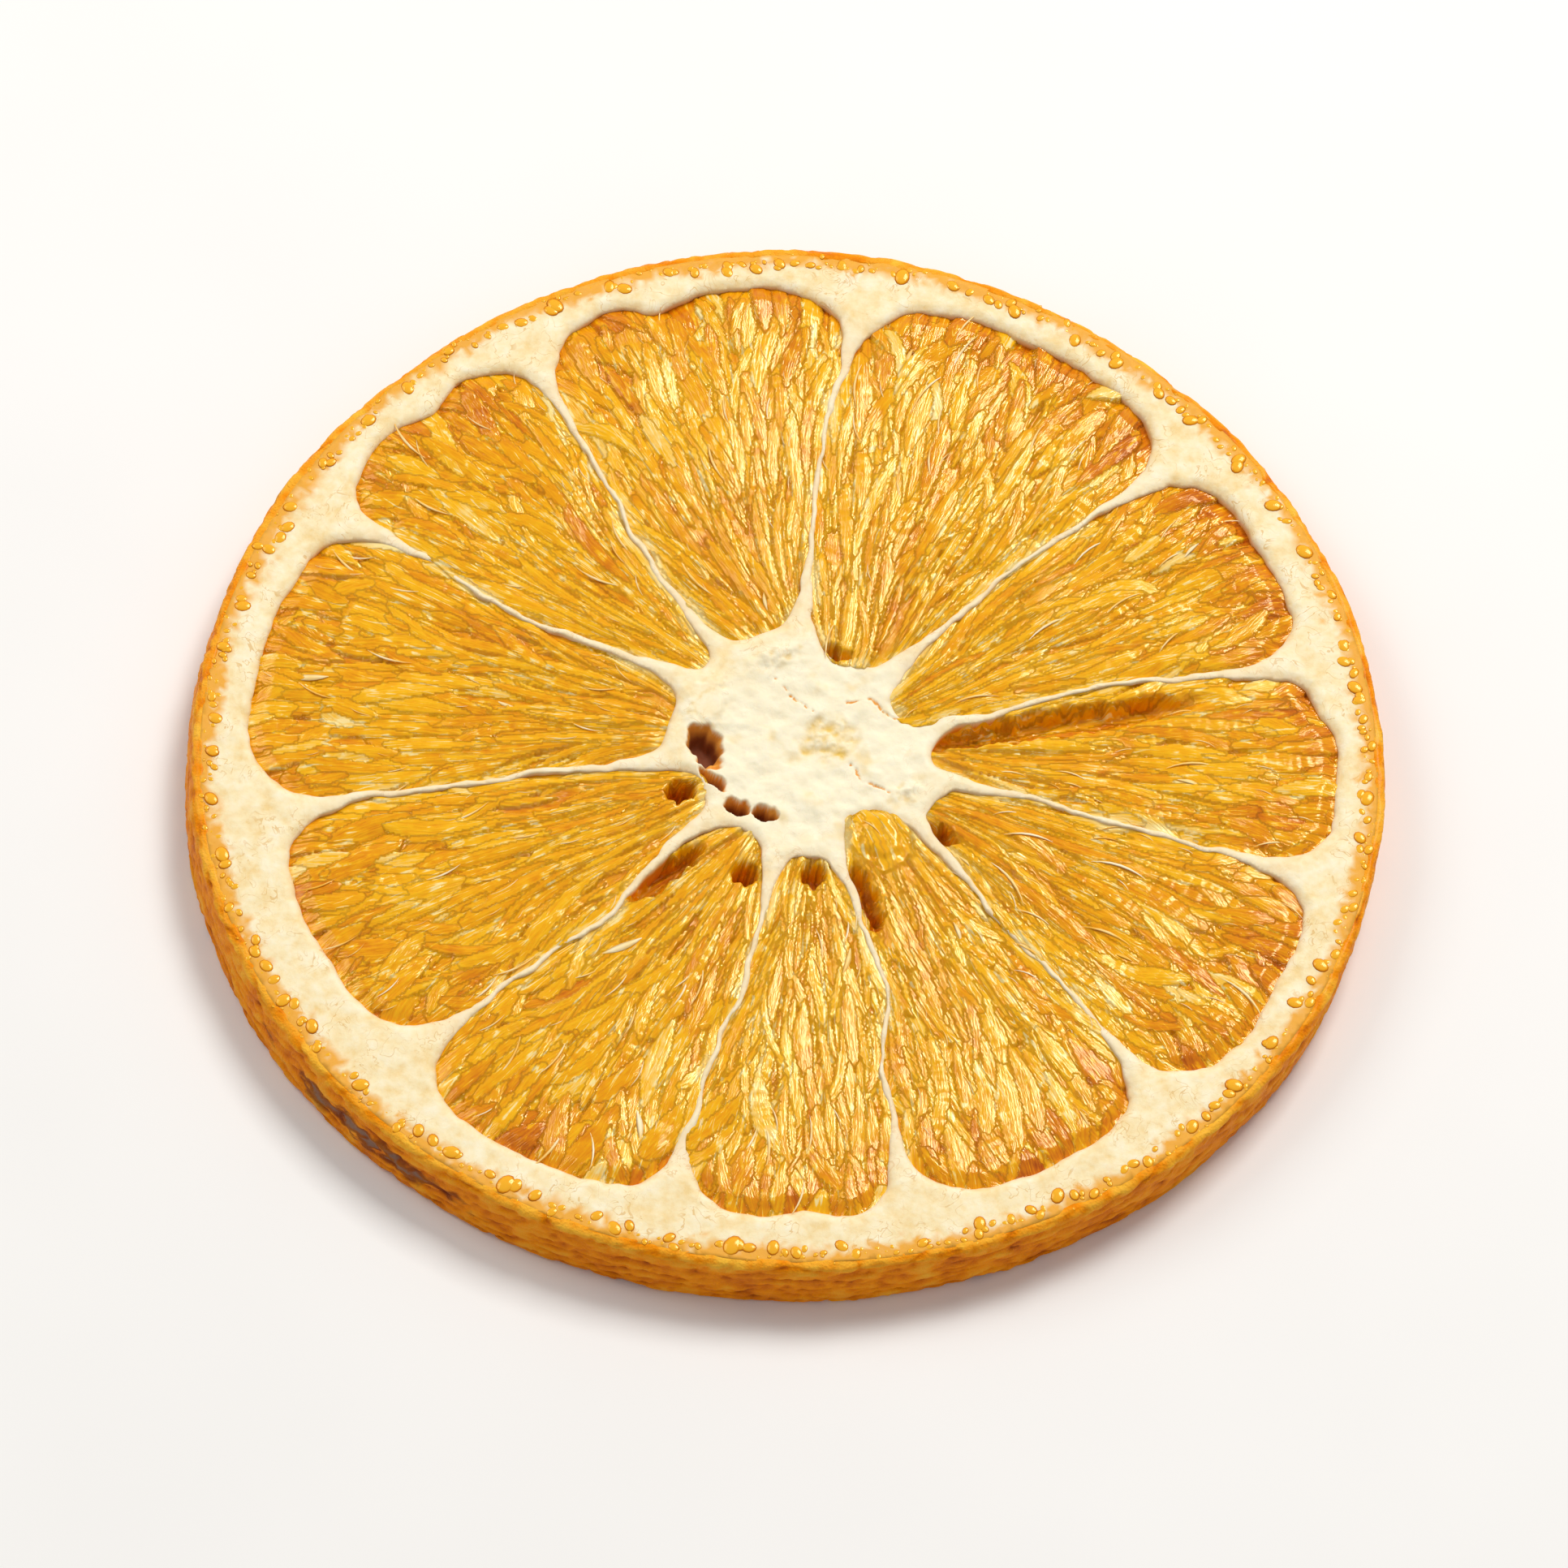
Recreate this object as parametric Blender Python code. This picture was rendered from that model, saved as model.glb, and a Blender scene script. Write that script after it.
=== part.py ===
"""A dried orange slice, modelled as the one grown piece that it is.

The slice was cut across the fruit, so each face shows the pith as a ring, a core
off the middle, and thin membranes that part the juice segments. Drying sinks the
segments below the pith on both faces. Units are metres and +Z is up. The slice
lies on its lower face, with the middle of its outline over the origin.
"""

from math import asin, cos, pi, radians, sin, sqrt

import bmesh
import bpy
from mathutils import Vector

# Overall size of the slice.
SLICE_RADIUS = 0.0325
SLICE_THICKNESS = 0.0036

# The peel's outline: a circle with a slight oval and a slight three-sided swell.
OVAL_SWELL = 0.00035
OVAL_DIRECTION = radians(150)
LOBE_SWELL = 0.0002
LOBE_DIRECTION = radians(-35)
PEEL_POINTS = 96

# The peel's wall: it bulges at mid height and leans out towards its lower face.
WALL_BULGE = 0.00025
WALL_LEAN = Vector((-0.0006, -0.0003, 0.0))
WALL_RINGS = 5
EDGE_ROUND = 0.0003
EDGE_ROUND_STEPS = 2

# The pith ring is widest on one side, because the fruit dried unevenly.
PITH_WIDTH = 0.0034
PITH_EXTRA = 0.0009
PITH_WIDE_SIDE = radians(220)

# The core, off the middle, where the membranes meet. It reaches furthest one way.
CORE_CENTRE = Vector((0.0019, -0.0002, 0.0))
CORE_RADIUS = 0.0060
CORE_EXTRA = 0.0014
CORE_LONG_SIDE = radians(150)

# One membrane between each two segments, by its direction from the core.
MEMBRANE_DEGREES = (-139, -107, -80.5, -49, -17, 12.5, 45, 88, 125, 152, 187)
MEMBRANE_WIDTH = 0.0007

# The juice segments: rounded wedges, sunk below both faces.
PULP_RECESS = 0.0006
SEGMENT_SQUARENESS = 4.5
SEGMENT_POINTS = 40

# The dried flesh's look.
FLESH_COLOUR = (0.80, 0.33, 0.02, 1.0)
FLESH_ROUGHNESS = 0.4

# A cutter runs this far past the face that it starts from.
CUTTER_OVERRUN = 0.002


def peel_radius(angle):
    """Distance from the slice's axis to its outline at mid wall, without the bulge."""
    oval = OVAL_SWELL * cos(2 * (angle - OVAL_DIRECTION))
    lobe = LOBE_SWELL * cos(3 * (angle - LOBE_DIRECTION))
    return SLICE_RADIUS + oval + lobe


def pith_edge_radius(angle):
    """Distance from the slice's axis to the inner edge of the pith ring."""
    width = PITH_WIDTH + PITH_EXTRA * cos(angle - PITH_WIDE_SIDE)
    return peel_radius(angle) - width


def core_to_pith(angle):
    """Distance from the core's centre to the pith ring, in one direction."""
    heading = Vector((cos(angle), sin(angle), 0.0))
    along = CORE_CENTRE.dot(heading)
    ring = pith_edge_radius(angle)
    return sqrt(along**2 + ring**2 - CORE_CENTRE.length_squared) - along


def core_radius(angle):
    """Distance from the core's centre to its own edge, in one direction."""
    return CORE_RADIUS + CORE_EXTRA * cos(angle - CORE_LONG_SIDE)


def signed_power(value, power):
    return abs(value) ** power * (1 if value >= 0 else -1)


def segment_outline(first, second):
    """Points round the segment that lies between the membranes at two angles.

    A superellipse gives the rounded rectangle, which is then bent into a wedge.
    """
    middle = (first + second) / 2
    half_wedge = (second - first) / 2
    points = []
    for k in range(SEGMENT_POINTS):
        turn = 2 * pi * (k + 0.5) / SEGMENT_POINTS
        across = signed_power(cos(turn), 2 / SEGMENT_SQUARENESS)
        outward = (signed_power(sin(turn), 2 / SEGMENT_SQUARENESS) + 1) / 2
        heading = middle + across * half_wedge
        inner = core_radius(heading)
        reach = inner + outward * (core_to_pith(heading) - inner)
        half_membrane = asin(MEMBRANE_WIDTH / 2 / reach)
        angle = middle + across * (half_wedge - half_membrane)
        points.append(CORE_CENTRE + reach * Vector((cos(angle), sin(angle), 0.0)))
    return points


def add_ring(mesh, points, height):
    """A closed loop of edges through the points, at one height."""
    corners = [mesh.verts.new((p.x, p.y, height)) for p in points]
    sides = zip(corners, corners[1:] + corners[:1])
    return corners, [mesh.edges.new(side) for side in sides]


def add_loft(mesh, rings):
    """A closed solid through a stack of rings, each given as points and a height."""
    loops = [add_ring(mesh, points, height) for points, height in rings]
    for (_, lower), (_, upper) in zip(loops, loops[1:]):
        bmesh.ops.bridge_loops(mesh, edges=lower + upper)
    mesh.faces.new(loops[0][0])
    mesh.faces.new(loops[-1][0])
    bmesh.ops.recalc_face_normals(mesh, faces=mesh.faces)


def new_object(name, mesh, frame):
    """An object that holds the bmesh's shape, placed by the slice's frame."""
    data = bpy.data.meshes.new(name)
    mesh.to_mesh(data)
    mesh.free()
    made = bpy.data.objects.new(name, data)
    made.parent = frame
    bpy.context.scene.collection.objects.link(made)
    return made


def wall_ring(share):
    """The peel's outline at a share of the wall's height, from 0 to 1."""
    bulge = WALL_BULGE * (1 - (2 * share - 1) ** 2)
    points = []
    for k in range(PEEL_POINTS):
        angle = 2 * pi * k / PEEL_POINTS
        radius = peel_radius(angle) + bulge
        points.append(radius * Vector((cos(angle), sin(angle), 0.0)) + (1 - share) * WALL_LEAN)
    return points


def wall_rings():
    """Every ring of the peel's wall with its height, from the lower face up."""
    shares = [k / (WALL_RINGS - 1) for k in range(WALL_RINGS)]
    return [(wall_ring(share), share * SLICE_THICKNESS) for share in shares]


def outline_middle():
    """The middle of the box round the whole outline, which becomes the origin."""
    points = [point for ring, _ in wall_rings() for point in ring]
    lowest = Vector(min(p[axis] for p in points) for axis in range(3))
    highest = Vector(max(p[axis] for p in points) for axis in range(3))
    return (lowest + highest) / 2


def make_frame():
    """The empty that carries the slice so that its outline is centred."""
    frame = bpy.data.objects.new("slice_frame", None)
    frame.location = -outline_middle()
    bpy.context.scene.collection.objects.link(frame)
    return frame


def make_cutter(name, heights, frame):
    """One hidden cutter that holds a prism for every segment."""
    angles = [radians(degrees) for degrees in MEMBRANE_DEGREES]
    mesh = bmesh.new()
    for first, second in zip(angles, angles[1:] + [angles[0] + 2 * pi]):
        outline = segment_outline(first, second)
        add_loft(mesh, [(outline, height) for height in heights])
    cutter = new_object(name, mesh, frame)
    cutter.hide_render = True
    cutter.display_type = "WIRE"
    return cutter


def flesh_material():
    material = bpy.data.materials.new("dried_flesh")
    material.use_nodes = True
    shader = material.node_tree.nodes["Principled BSDF"]
    shader.inputs["Base Color"].default_value = FLESH_COLOUR
    shader.inputs["Roughness"].default_value = FLESH_ROUGHNESS
    shader.inputs["Metallic"].default_value = 0.0
    return material


def make_slice(frame):
    """The whole slice: a round plate with its segments sunk into both faces."""
    mesh = bmesh.new()
    add_loft(mesh, wall_rings())
    slice_ = new_object("orange_slice", mesh, frame)
    slice_.data.materials.append(flesh_material())

    edges = slice_.modifiers.new("rounded_edges", "BEVEL")
    edges.width = EDGE_ROUND
    edges.segments = EDGE_ROUND_STEPS
    edges.limit_method = "ANGLE"
    edges.angle_limit = radians(45)

    upper = (SLICE_THICKNESS - PULP_RECESS, SLICE_THICKNESS + CUTTER_OVERRUN)
    lower = (-CUTTER_OVERRUN, PULP_RECESS)
    for face, heights in (("upper", upper), ("lower", lower)):
        sunk = slice_.modifiers.new(f"{face}_segments", "BOOLEAN")
        sunk.operation = "DIFFERENCE"
        sunk.object = make_cutter(f"{face}_segment_cutter", heights, frame)

    slice_.data.shade_smooth()
    slice_.data.set_sharp_from_angle(angle=radians(40))
    return slice_


def main():
    for existing in list(bpy.data.objects):
        bpy.data.objects.remove(existing)
    make_slice(make_frame())


main()
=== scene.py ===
"""A dried orange slice, cut across the fruit and laid flat on a pale table.

The white pith is one piece: the ring under the peel, the core off the middle, and
the thin membranes that run between them. The peel's coloured skin goes round it,
and a bed of dried juice sacs fills each segment. Both cut faces are finished.

Lengths are in millimetres, in the slice's own plan, until a mesh is made from them.
A bearing is an angle in degrees round the core's centre, and a reach is a distance
from it, because the membranes all start there.
"""

import bpy
import numpy as np
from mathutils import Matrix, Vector
from mathutils.geometry import delaunay_2d_cdt


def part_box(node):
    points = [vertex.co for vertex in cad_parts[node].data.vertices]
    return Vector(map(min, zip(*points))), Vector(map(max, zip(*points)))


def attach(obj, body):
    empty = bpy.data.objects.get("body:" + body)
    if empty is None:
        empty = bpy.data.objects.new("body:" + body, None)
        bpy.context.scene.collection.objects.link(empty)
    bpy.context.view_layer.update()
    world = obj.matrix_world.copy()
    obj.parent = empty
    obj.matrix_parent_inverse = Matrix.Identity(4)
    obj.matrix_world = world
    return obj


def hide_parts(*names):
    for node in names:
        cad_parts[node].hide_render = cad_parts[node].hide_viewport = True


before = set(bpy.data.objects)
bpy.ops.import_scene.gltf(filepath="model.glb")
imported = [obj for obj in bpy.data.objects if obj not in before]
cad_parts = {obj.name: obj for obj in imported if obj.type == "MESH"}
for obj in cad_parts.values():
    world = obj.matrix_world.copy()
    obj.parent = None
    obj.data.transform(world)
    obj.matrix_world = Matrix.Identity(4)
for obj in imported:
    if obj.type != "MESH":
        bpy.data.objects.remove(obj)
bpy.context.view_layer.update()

MM = 0.001
TAU = 2 * np.pi
SEED = 20

# ---------------------------------------------------------------- sizes

SLICE_NODE = "orange_slice"
BODY = "root"
low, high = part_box(SLICE_NODE)
THICKNESS = (high.z - low.z) / MM

# The peel leans, so the upper face's middle lies this far from the lower face's.
LEAN = np.array((0.6, 0.3))
WALL_BULGE = 0.25
PEEL_RADIUS = (high.x - low.x) / 2 / MM - WALL_BULGE - LEAN[0] / 2
OVAL_SWELL, OVAL_DIRECTION = 0.35, 150.0
LOBE_SWELL, LOBE_DIRECTION = 0.2, -35.0

# The core's centre in the slice's plan.
CORE = np.array((1.9, 0.2))

# Each membrane's bearing at these reaches, from the core out to the pith ring.
REACHES = (6, 10, 15, 20, 25, 29)
MEMBRANES = (
    (-145, -143, -138, -139, -139, -139),
    (-111, -108, -106, -107, -107, -106),
    (-83, -80, -77, -81, -81, -81),
    (-44, -46, -49, -49, -50, -50),
    (-18, -16, -17, -17, -17, -17),
    (11, 13, 14.5, 12.5, 11, 11),
    (48, 49, 47, 45, 43, 43),
    (99, 95, 91.5, 90, 87, 86),
    (134, 132, 129, 125.5, 124, 123),
    (149, 150, 153, 153.5, 151, 151),
    (189, 187, 186, 187, 187, 187.5),
)
# Each segment lies between its own membrane and the next. These are the reach of
# its inner end and its outer end's share of the peel's radius.
SEGMENTS = (
    (6.8, 0.900),
    (6.9, 0.900),
    (4.7, 0.897),
    (7.0, 0.920),
    (5.9, 0.920),
    (4.8, 0.907),
    (5.7, 0.922),
    (8.0, 0.930),
    (8.2, 0.925),
    (8.6, 0.907),
    (7.0, 0.868),
)
HALF_MEMBRANE = 0.12
SQUARENESS = 4.6
# Dents in the segments' outer ends: the bearing, the depth and the half width.
DENTS = ((108, 1.0, 2.0), (135.5, 0.8, 1.8), (-93, 0.4, 2.5), (5, 0.6, 2.5), (-32, 0.35, 3.0))

# Hollows where the sacs have shrunk away, pits in the core, and lumps on it: the
# bearing and reach of the middle, the length, the width, the turn from the bearing,
# and the depth or rise.
HOLLOWS = (
    (7.0, 13.0, 17.0, 1.9, 3.0, 1.3),
    (-137.6, 11.6, 5.4, 1.5, 0.0, 1.5),
    (-93.5, 8.0, 1.9, 1.2, 0.0, 1.5),
    (-76.0, 9.6, 4.6, 1.0, 6.0, 1.4),
    (-118.0, 9.0, 1.7, 1.4, 20.0, 2.0),
    (200.0, 8.3, 1.9, 1.5, 10.0, 1.9),
    (138.0, 7.6, 2.6, 0.9, -40.0, 1.2),
    (83.0, 6.1, 1.8, 0.8, 80.0, 1.0),
    (-40.0, 8.2, 2.6, 0.9, 5.0, 1.1),
)
PITS = (
    (180.0, 6.5, 2.0, 2.9, 20.0, 1.5),
    (219.0, 6.1, 1.2, 1.5, 10.0, 1.2),
    (233.0, 5.3, 1.5, 1.1, -50.0, 1.3),
    (199.0, 6.4, 0.7, 2.3, 25.0, 0.9),
)
LUMPS = (
    (158.0, 6.9, 4.6, 3.2, 100.0, 0.35),
    (115.0, 6.2, 4.4, 2.2, 80.0, 0.25),
    (-32.0, 5.4, 2.0, 1.7, 0.0, 0.20),
)
# A plump sac at a segment's inner end, listed the same way.
BULBS = ((-61.5, 6.5, 4.4, 3.6, 0.0, 1.0),)
# Fine cracks in the core, as points from its centre.
CRACKS = (
    ((-2.6, 4.3), (-1.7, 3.1), (-0.6, 2.3)),
    ((1.4, 2.9), (2.7, 3.0), (3.3, 2.1), (4.7, 1.6)),
    ((1.6, -1.1), (2.1, -2.2), (3.6, -2.9)),
)

# The juice sacs: how many fill a segment, how far inside its inner end their fan has its
# root, the radius at which the fan's arcs are measured, the degrees that the fan sways,
# and how far the bed is tucked into the pith.
SACS_PER_SEGMENT = 230
SAC_ROOT = 4.0
FAN_RADIUS = 18.0
FAN_SWAY = 12.0
TUCK = 0.24

# The peel's coloured skin reaches this far in from the outline, over the pith, which
# starts this far in.
PEEL_LAP = 0.75
RIM_LAP = 0.40
# The rounding of the peel's edges, and its mesh steps round the slice and down the wall.
PEEL_EDGE = 0.3
PEEL_STEPS = 1080
WALL_STEPS = 19
# The rings of points in the openings' walls, as shares of their depth.
WALL_LEVELS = (0.18, 0.5, 0.82)
# The pith rises at most this far above its face, and the lower face's relief is flatter.
PITH_RISE = 0.10
RELIEF_BELOW = 0.8

# Oil glands on both rims: a name, a seed, and a number for each input of their grower,
# with the unit that it counts in. Small ones crowd the peel's edge, and bigger ones sit
# a little further in.
GLAND_UNITS = {
    "Count": 1,
    "Least Inset": MM,
    "Greatest Inset": MM,
    "Least Radius": MM,
    "Extra Radius": MM,
}
GLANDS = (
    ("small", 420, 420, 0.42, 1.1, 0.09, 0.14),
    ("middle", 210, 210, 0.50, 1.3, 0.17, 0.26),
    ("big", 60, 60, 0.65, 1.15, 0.30, 0.26),
)
# The heights of the two loops that they sit on, how far one strays, and its flat shape.
GLAND_HEIGHTS = (THICKNESS - 0.08, 0.14)
GLAND_STRAY = 0.2
GLAND_SHAPE = (1.2, 0.9, 0.26)

# Loose skin on the sacs, listed the same way: pale threads and fewer, broader flakes.
# The density counts them on a square millimetre.
FIBRE_UNITS = {
    "Density": 1 / MM**2,
    "Bow": 1,
    "Breadth": 1,
    "Least Length": MM,
    "Extra Length": MM,
}
FIBRES = (
    ("threads", 1, 0.10, 0.14, 1.3, 0.8, 2.6),
    ("flakes", 2, 0.005, 0.02, 5.0, 1.0, 1.4),
)
# How far they turn off the fan, in radians round each axis, the depth down to which a
# bed carries them, and their height as a share of their width.
FIBRE_STRAY = (0.0, 0.06, 0.44)
FIBRE_DEPTH = 0.62
FIBRE_FLATNESS = 0.5

# The bruise on the wall: its angle round the slice's axis and its spread, in degrees.
BRUISE_AT, BRUISE_SPREAD = 226.0, 12.0

# The camera, in millimetres and degrees above the cut face.
CAMERA_AIM = (0.0, -1.0, 1.5)
CAMERA_DISTANCE = 550.0
CAMERA_HEIGHT = 60.0
CAMERA_LENS = 230.0

# Mesh steps.
OUTLINE_STEP = 0.15
PULP_STEP = 0.125
PULP_STEP_BELOW = 0.17
PITH_STEP = 0.14
CORE_STEP = 0.08
# The core's step serves out to the first of these reaches. Past the second, pith that
# is this far from every opening keeps one point in four.
FINE_REACH = 8.2
SPARSE_REACH = 9.0
SPARSE_GAP = 0.7

# ---------------------------------------------------------------- number work


def lattice(column, row, seed):
    """A steady random number from 0 to 1 for each cell of a grid."""
    mixed = column.astype(np.int64) * 374761393 + row.astype(np.int64) * 668265263
    mixed = (mixed + seed * 974634777) & 0xFFFFFFFF
    mixed = ((mixed ^ (mixed >> 13)) * 1274126177) & 0xFFFFFFFF
    return ((mixed ^ (mixed >> 16)) & 0xFFFF) / 65535.0


def noise(x, y, seed=0):
    """Smooth noise, about -1 to 1, that changes over a distance of about one."""
    column, row = np.floor(x), np.floor(y)
    right, up = x - column, y - row
    blend_x = right**3 * (right * (right * 6 - 15) + 10)
    blend_y = up**3 * (up * (up * 6 - 15) + 10)
    total = 0
    for step_x in (0, 1):
        for step_y in (0, 1):
            turn = TAU * lattice(column + step_x, row + step_y, seed)
            slope = np.cos(turn) * (right - step_x) + np.sin(turn) * (up - step_y)
            share_x = blend_x if step_x else 1 - blend_x
            share_y = blend_y if step_y else 1 - blend_y
            total = total + share_x * share_y * slope
    return total * 1.5


def rough(x, y, seed=0, octaves=3):
    """Noise with finer noise laid over it."""
    return sum(noise(x * 2**n, y * 2**n, seed + 7 * n) / 2**n for n in range(octaves)) / 1.5


def cell_distance(x, y, seed):
    """Distance to the nearest of one random point in each unit cell."""
    column, row = np.floor(x), np.floor(y)
    nearest = np.full(np.shape(x), 9.0)
    for step_x in (-1, 0, 1):
        for step_y in (-1, 0, 1):
            at_x = column + step_x + lattice(column + step_x, row + step_y, seed)
            at_y = row + step_y + lattice(column + step_x, row + step_y, seed + 1)
            nearest = np.minimum(nearest, np.hypot(at_x - x, at_y - y))
    return nearest


def ease(value, start, end):
    """0 up to start, 1 from end on, and a smooth rise between them."""
    share = np.clip((value - start) / (end - start), 0, 1)
    return share * share * (3 - 2 * share)


def signed_power(value, power):
    return np.sign(value) * np.abs(value) ** power


def heading(degrees):
    """Unit vectors at angles in degrees."""
    angle = np.radians(degrees)
    return np.stack([np.cos(angle), np.sin(angle)], -1)


def angle_of(points):
    """The points' angles round the slice's axis, in degrees."""
    return np.degrees(np.arctan2(points[:, 1], points[:, 0]))


def bearing_of(points):
    """Bearings, in the range that the table of membranes uses."""
    bearing = angle_of(points - CORE)
    return np.where(bearing < MEMBRANES[0][0], bearing + 360, bearing)


def place(bearing, reach):
    return CORE + heading(bearing) * np.asarray(reach)[..., None]


def from_core(points):
    return np.hypot(*(points - CORE).T)


# ---------------------------------------------------------------- the slice's plan


def peel_radius(degrees):
    """Distance from the slice's axis to its outline."""
    oval = OVAL_SWELL * np.cos(2 * np.radians(degrees - OVAL_DIRECTION))
    lobe = LOBE_SWELL * np.cos(3 * np.radians(degrees - LOBE_DIRECTION))
    return PEEL_RADIUS + oval + lobe


def inside_peel(points):
    """How far the points lie inside the outline."""
    return peel_radius(angle_of(points)) - np.hypot(*points.T)


def reach_to_ring(share, bearing):
    """Reach at which a bearing meets a share of the peel's radius."""
    along = heading(bearing) @ CORE
    reach = share * PEEL_RADIUS - along
    for _ in range(3):
        at = place(bearing, reach)
        reach = reach + share * peel_radius(angle_of(at)) - np.hypot(*at.T)
    return reach


def membrane(number, reach):
    """A membrane's bearing at a reach. The one past the last is the first again."""
    lap, number = divmod(number, len(MEMBRANES))
    return np.interp(reach, REACHES, MEMBRANES[number]) + 360 * lap


def wedge(number, reach):
    """A segment's middle bearing and half its width at a reach, in degrees."""
    first, second = membrane(number, reach), membrane(number + 1, reach)
    return (first + second) / 2, (second - first) / 2


def evenly(loop, step):
    """The same closed loop with its points spaced evenly."""
    closed = np.vstack([loop, loop[:1]])
    travelled = np.concatenate([[0], np.cumsum(np.hypot(*np.diff(closed, axis=0).T))])
    count = int(round(travelled[-1] / step))
    at = np.linspace(0, travelled[-1], count, endpoint=False)
    return np.stack([np.interp(at, travelled, closed[:, axis]) for axis in (0, 1)], -1)


def outward_of(loop):
    """Unit vectors that point out of a loop that runs anticlockwise."""
    along = np.roll(loop, -1, 0) - np.roll(loop, 1, 0)
    along /= np.hypot(along[:, 0], along[:, 1])[:, None]
    return np.stack([along[:, 1], -along[:, 0]], -1)


def softened(loop, rounds):
    """The loop with each point drawn towards its neighbours, which rounds corners."""
    for _ in range(rounds):
        loop = (np.roll(loop, 1, 0) + 2 * loop + np.roll(loop, -1, 0)) / 4
    return loop


def segment_outline(number):
    """The opening in the pith that one segment fills: a wedge with round corners."""
    inner, share = SEGMENTS[number]
    turn = TAU * (np.arange(400) + 0.5) / 400
    across = signed_power(np.cos(turn), 2 / SQUARENESS)
    outward = (signed_power(np.sin(turn), 2 / SQUARENESS) + 1) / 2
    middle, half = wedge(number, REACHES[-1])
    rim_bearing = middle + across * half
    rim = reach_to_ring(share, rim_bearing)
    for at, depth, half_width in DENTS:
        rim = rim - depth * np.exp(-(((rim_bearing - at) / half_width) ** 2))
    reach = inner + outward * (rim - inner)
    middle, half = wedge(number, reach)
    bearing = middle + across * (half - np.degrees(HALF_MEMBRANE / reach))
    loop = softened(evenly(place(bearing, reach)[::-1], OUTLINE_STEP), 12)
    if np.cross(loop, np.roll(loop, -1, 0)).sum() < 0:
        loop = loop[::-1]
    # Both sides of a membrane sway together, and its width changes a little.
    x, y = loop.T
    sway = [0.22 * noise(x / 2.4, y / 2.4, s) + 0.07 * noise(x / 0.8, y / 0.8, s) for s in (1, 2)]
    swell = 0.05 * noise(x / 0.9, y / 0.9, 3)
    return evenly(loop + np.stack(sway, -1) + outward_of(loop) * swell[:, None], OUTLINE_STEP)


def in_box(points, loop, margin=0.0):
    """Which points lie in the box round a loop, or within a margin of it."""
    return ((points > loop.min(0) - margin) & (points < loop.max(0) + margin)).all(1)


def depth_inside(points, loop):
    """How far each point lies inside a closed loop, and less than 0 outside it."""
    out = outward_of(loop)
    found = []
    for some in np.array_split(points, max(1, len(points) // 4000)):
        apart = (some**2).sum(1)[:, None] + (loop**2).sum(1) - 2 * some @ loop.T
        nearest = apart.argmin(1)
        gap = np.full(len(some), np.inf)
        for step in (-1, 1):
            run = loop[(nearest + step) % len(loop)] - loop[nearest]
            away = some - loop[nearest]
            share = np.clip((away * run).sum(1) / (run**2).sum(1), 0, 1)
            gap = np.minimum(gap, np.hypot(*(away - share[:, None] * run).T))
        outside = ((some - loop[nearest]) * out[nearest]).sum(1) > 0
        found.append(np.where(outside, -gap, gap))
    return np.concatenate(found)


def staggered_grid(loop, step):
    """Points in offset rows that cover the box round a loop, each a little off its place."""
    (left, bottom), (right, top) = loop.min(0), loop.max(0)
    rows = np.arange(bottom, top, step * np.sqrt(3) / 2)
    columns = np.arange(left, right, step)
    x = columns[None] + (np.arange(len(rows)) % 2)[:, None] * step / 2
    grid = np.stack([x, np.broadcast_to(rows[:, None], x.shape)], -1).reshape(-1, 2)
    jitter = np.stack([noise(grid[:, 0] * 9, grid[:, 1] * 9, s) for s in (1, 2)], -1)
    return grid + 0.12 * step * jitter


def triangulate(loops, inner_points):
    """Points, with the loops' own first, and the triangles that join them all."""
    points = np.vstack([*loops, inner_points])
    edges, start = [], 0
    for loop in loops:
        ring = start + np.arange(len(loop))
        edges += list(zip(ring.tolist(), np.roll(ring, -1).tolist()))
        start += len(loop)
    # Output type 1 leaves no triangles outside the outermost loop.
    made = delaunay_2d_cdt([Vector(p) for p in points], edges, [], 1, 1e-7)
    return points, np.array([tuple(face) for face in made[2]])


# ---------------------------------------------------------------- meshes


def leaning(points):
    """Points in the slice's plan, in millimetres, moved to where they lie in metres.

    Every piece is sheared here in the same way, so that it follows the peel's lean, and
    nothing reaches below the table.
    """
    moved = np.array(points, float)
    moved[:, 2] = np.maximum(moved[:, 2], 0)
    moved[:, :2] += (moved[:, 2:] / THICKNESS - 0.5) * LEAN
    return moved * MM


def add_object(name, data):
    """A new object in the scene."""
    made = bpy.data.objects.new(name, data)
    bpy.context.scene.collection.objects.link(made)
    return made


def new_piece(name, points, triangles, material, numbers):
    """A mesh object from points in the slice's plan, with numbers for each point."""
    mesh = bpy.data.meshes.new(name)
    mesh.vertices.add(len(points))
    mesh.vertices.foreach_set("co", leaning(points).astype(np.float32).ravel())
    mesh.loops.add(triangles.size)
    mesh.loops.foreach_set("vertex_index", triangles.astype(np.int32).ravel())
    mesh.polygons.add(len(triangles))
    mesh.polygons.foreach_set("loop_start", np.arange(0, triangles.size, 3, dtype=np.int32))
    mesh.update(calc_edges=True)
    for key, values in numbers.items():
        wide = np.ndim(values) == 2
        kept = mesh.attributes.new(key, "FLOAT_VECTOR" if wide else "FLOAT", "POINT")
        kept.data.foreach_set("vector" if wide else "value", values.astype(np.float32).ravel())
    mesh.materials.append(material)
    mesh.shade_smooth()
    return add_object(name, mesh)


def wall_between(upper, lower):
    """Triangles between two rings of point numbers, facing out of an anticlockwise loop."""
    upper_next, lower_next = np.roll(upper, -1), np.roll(lower, -1)
    halves = (lower, lower_next, upper_next), (lower, upper_next, upper)
    return np.vstack([np.stack(half, -1) for half in halves])


# ---------------------------------------------------------------- materials


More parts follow.
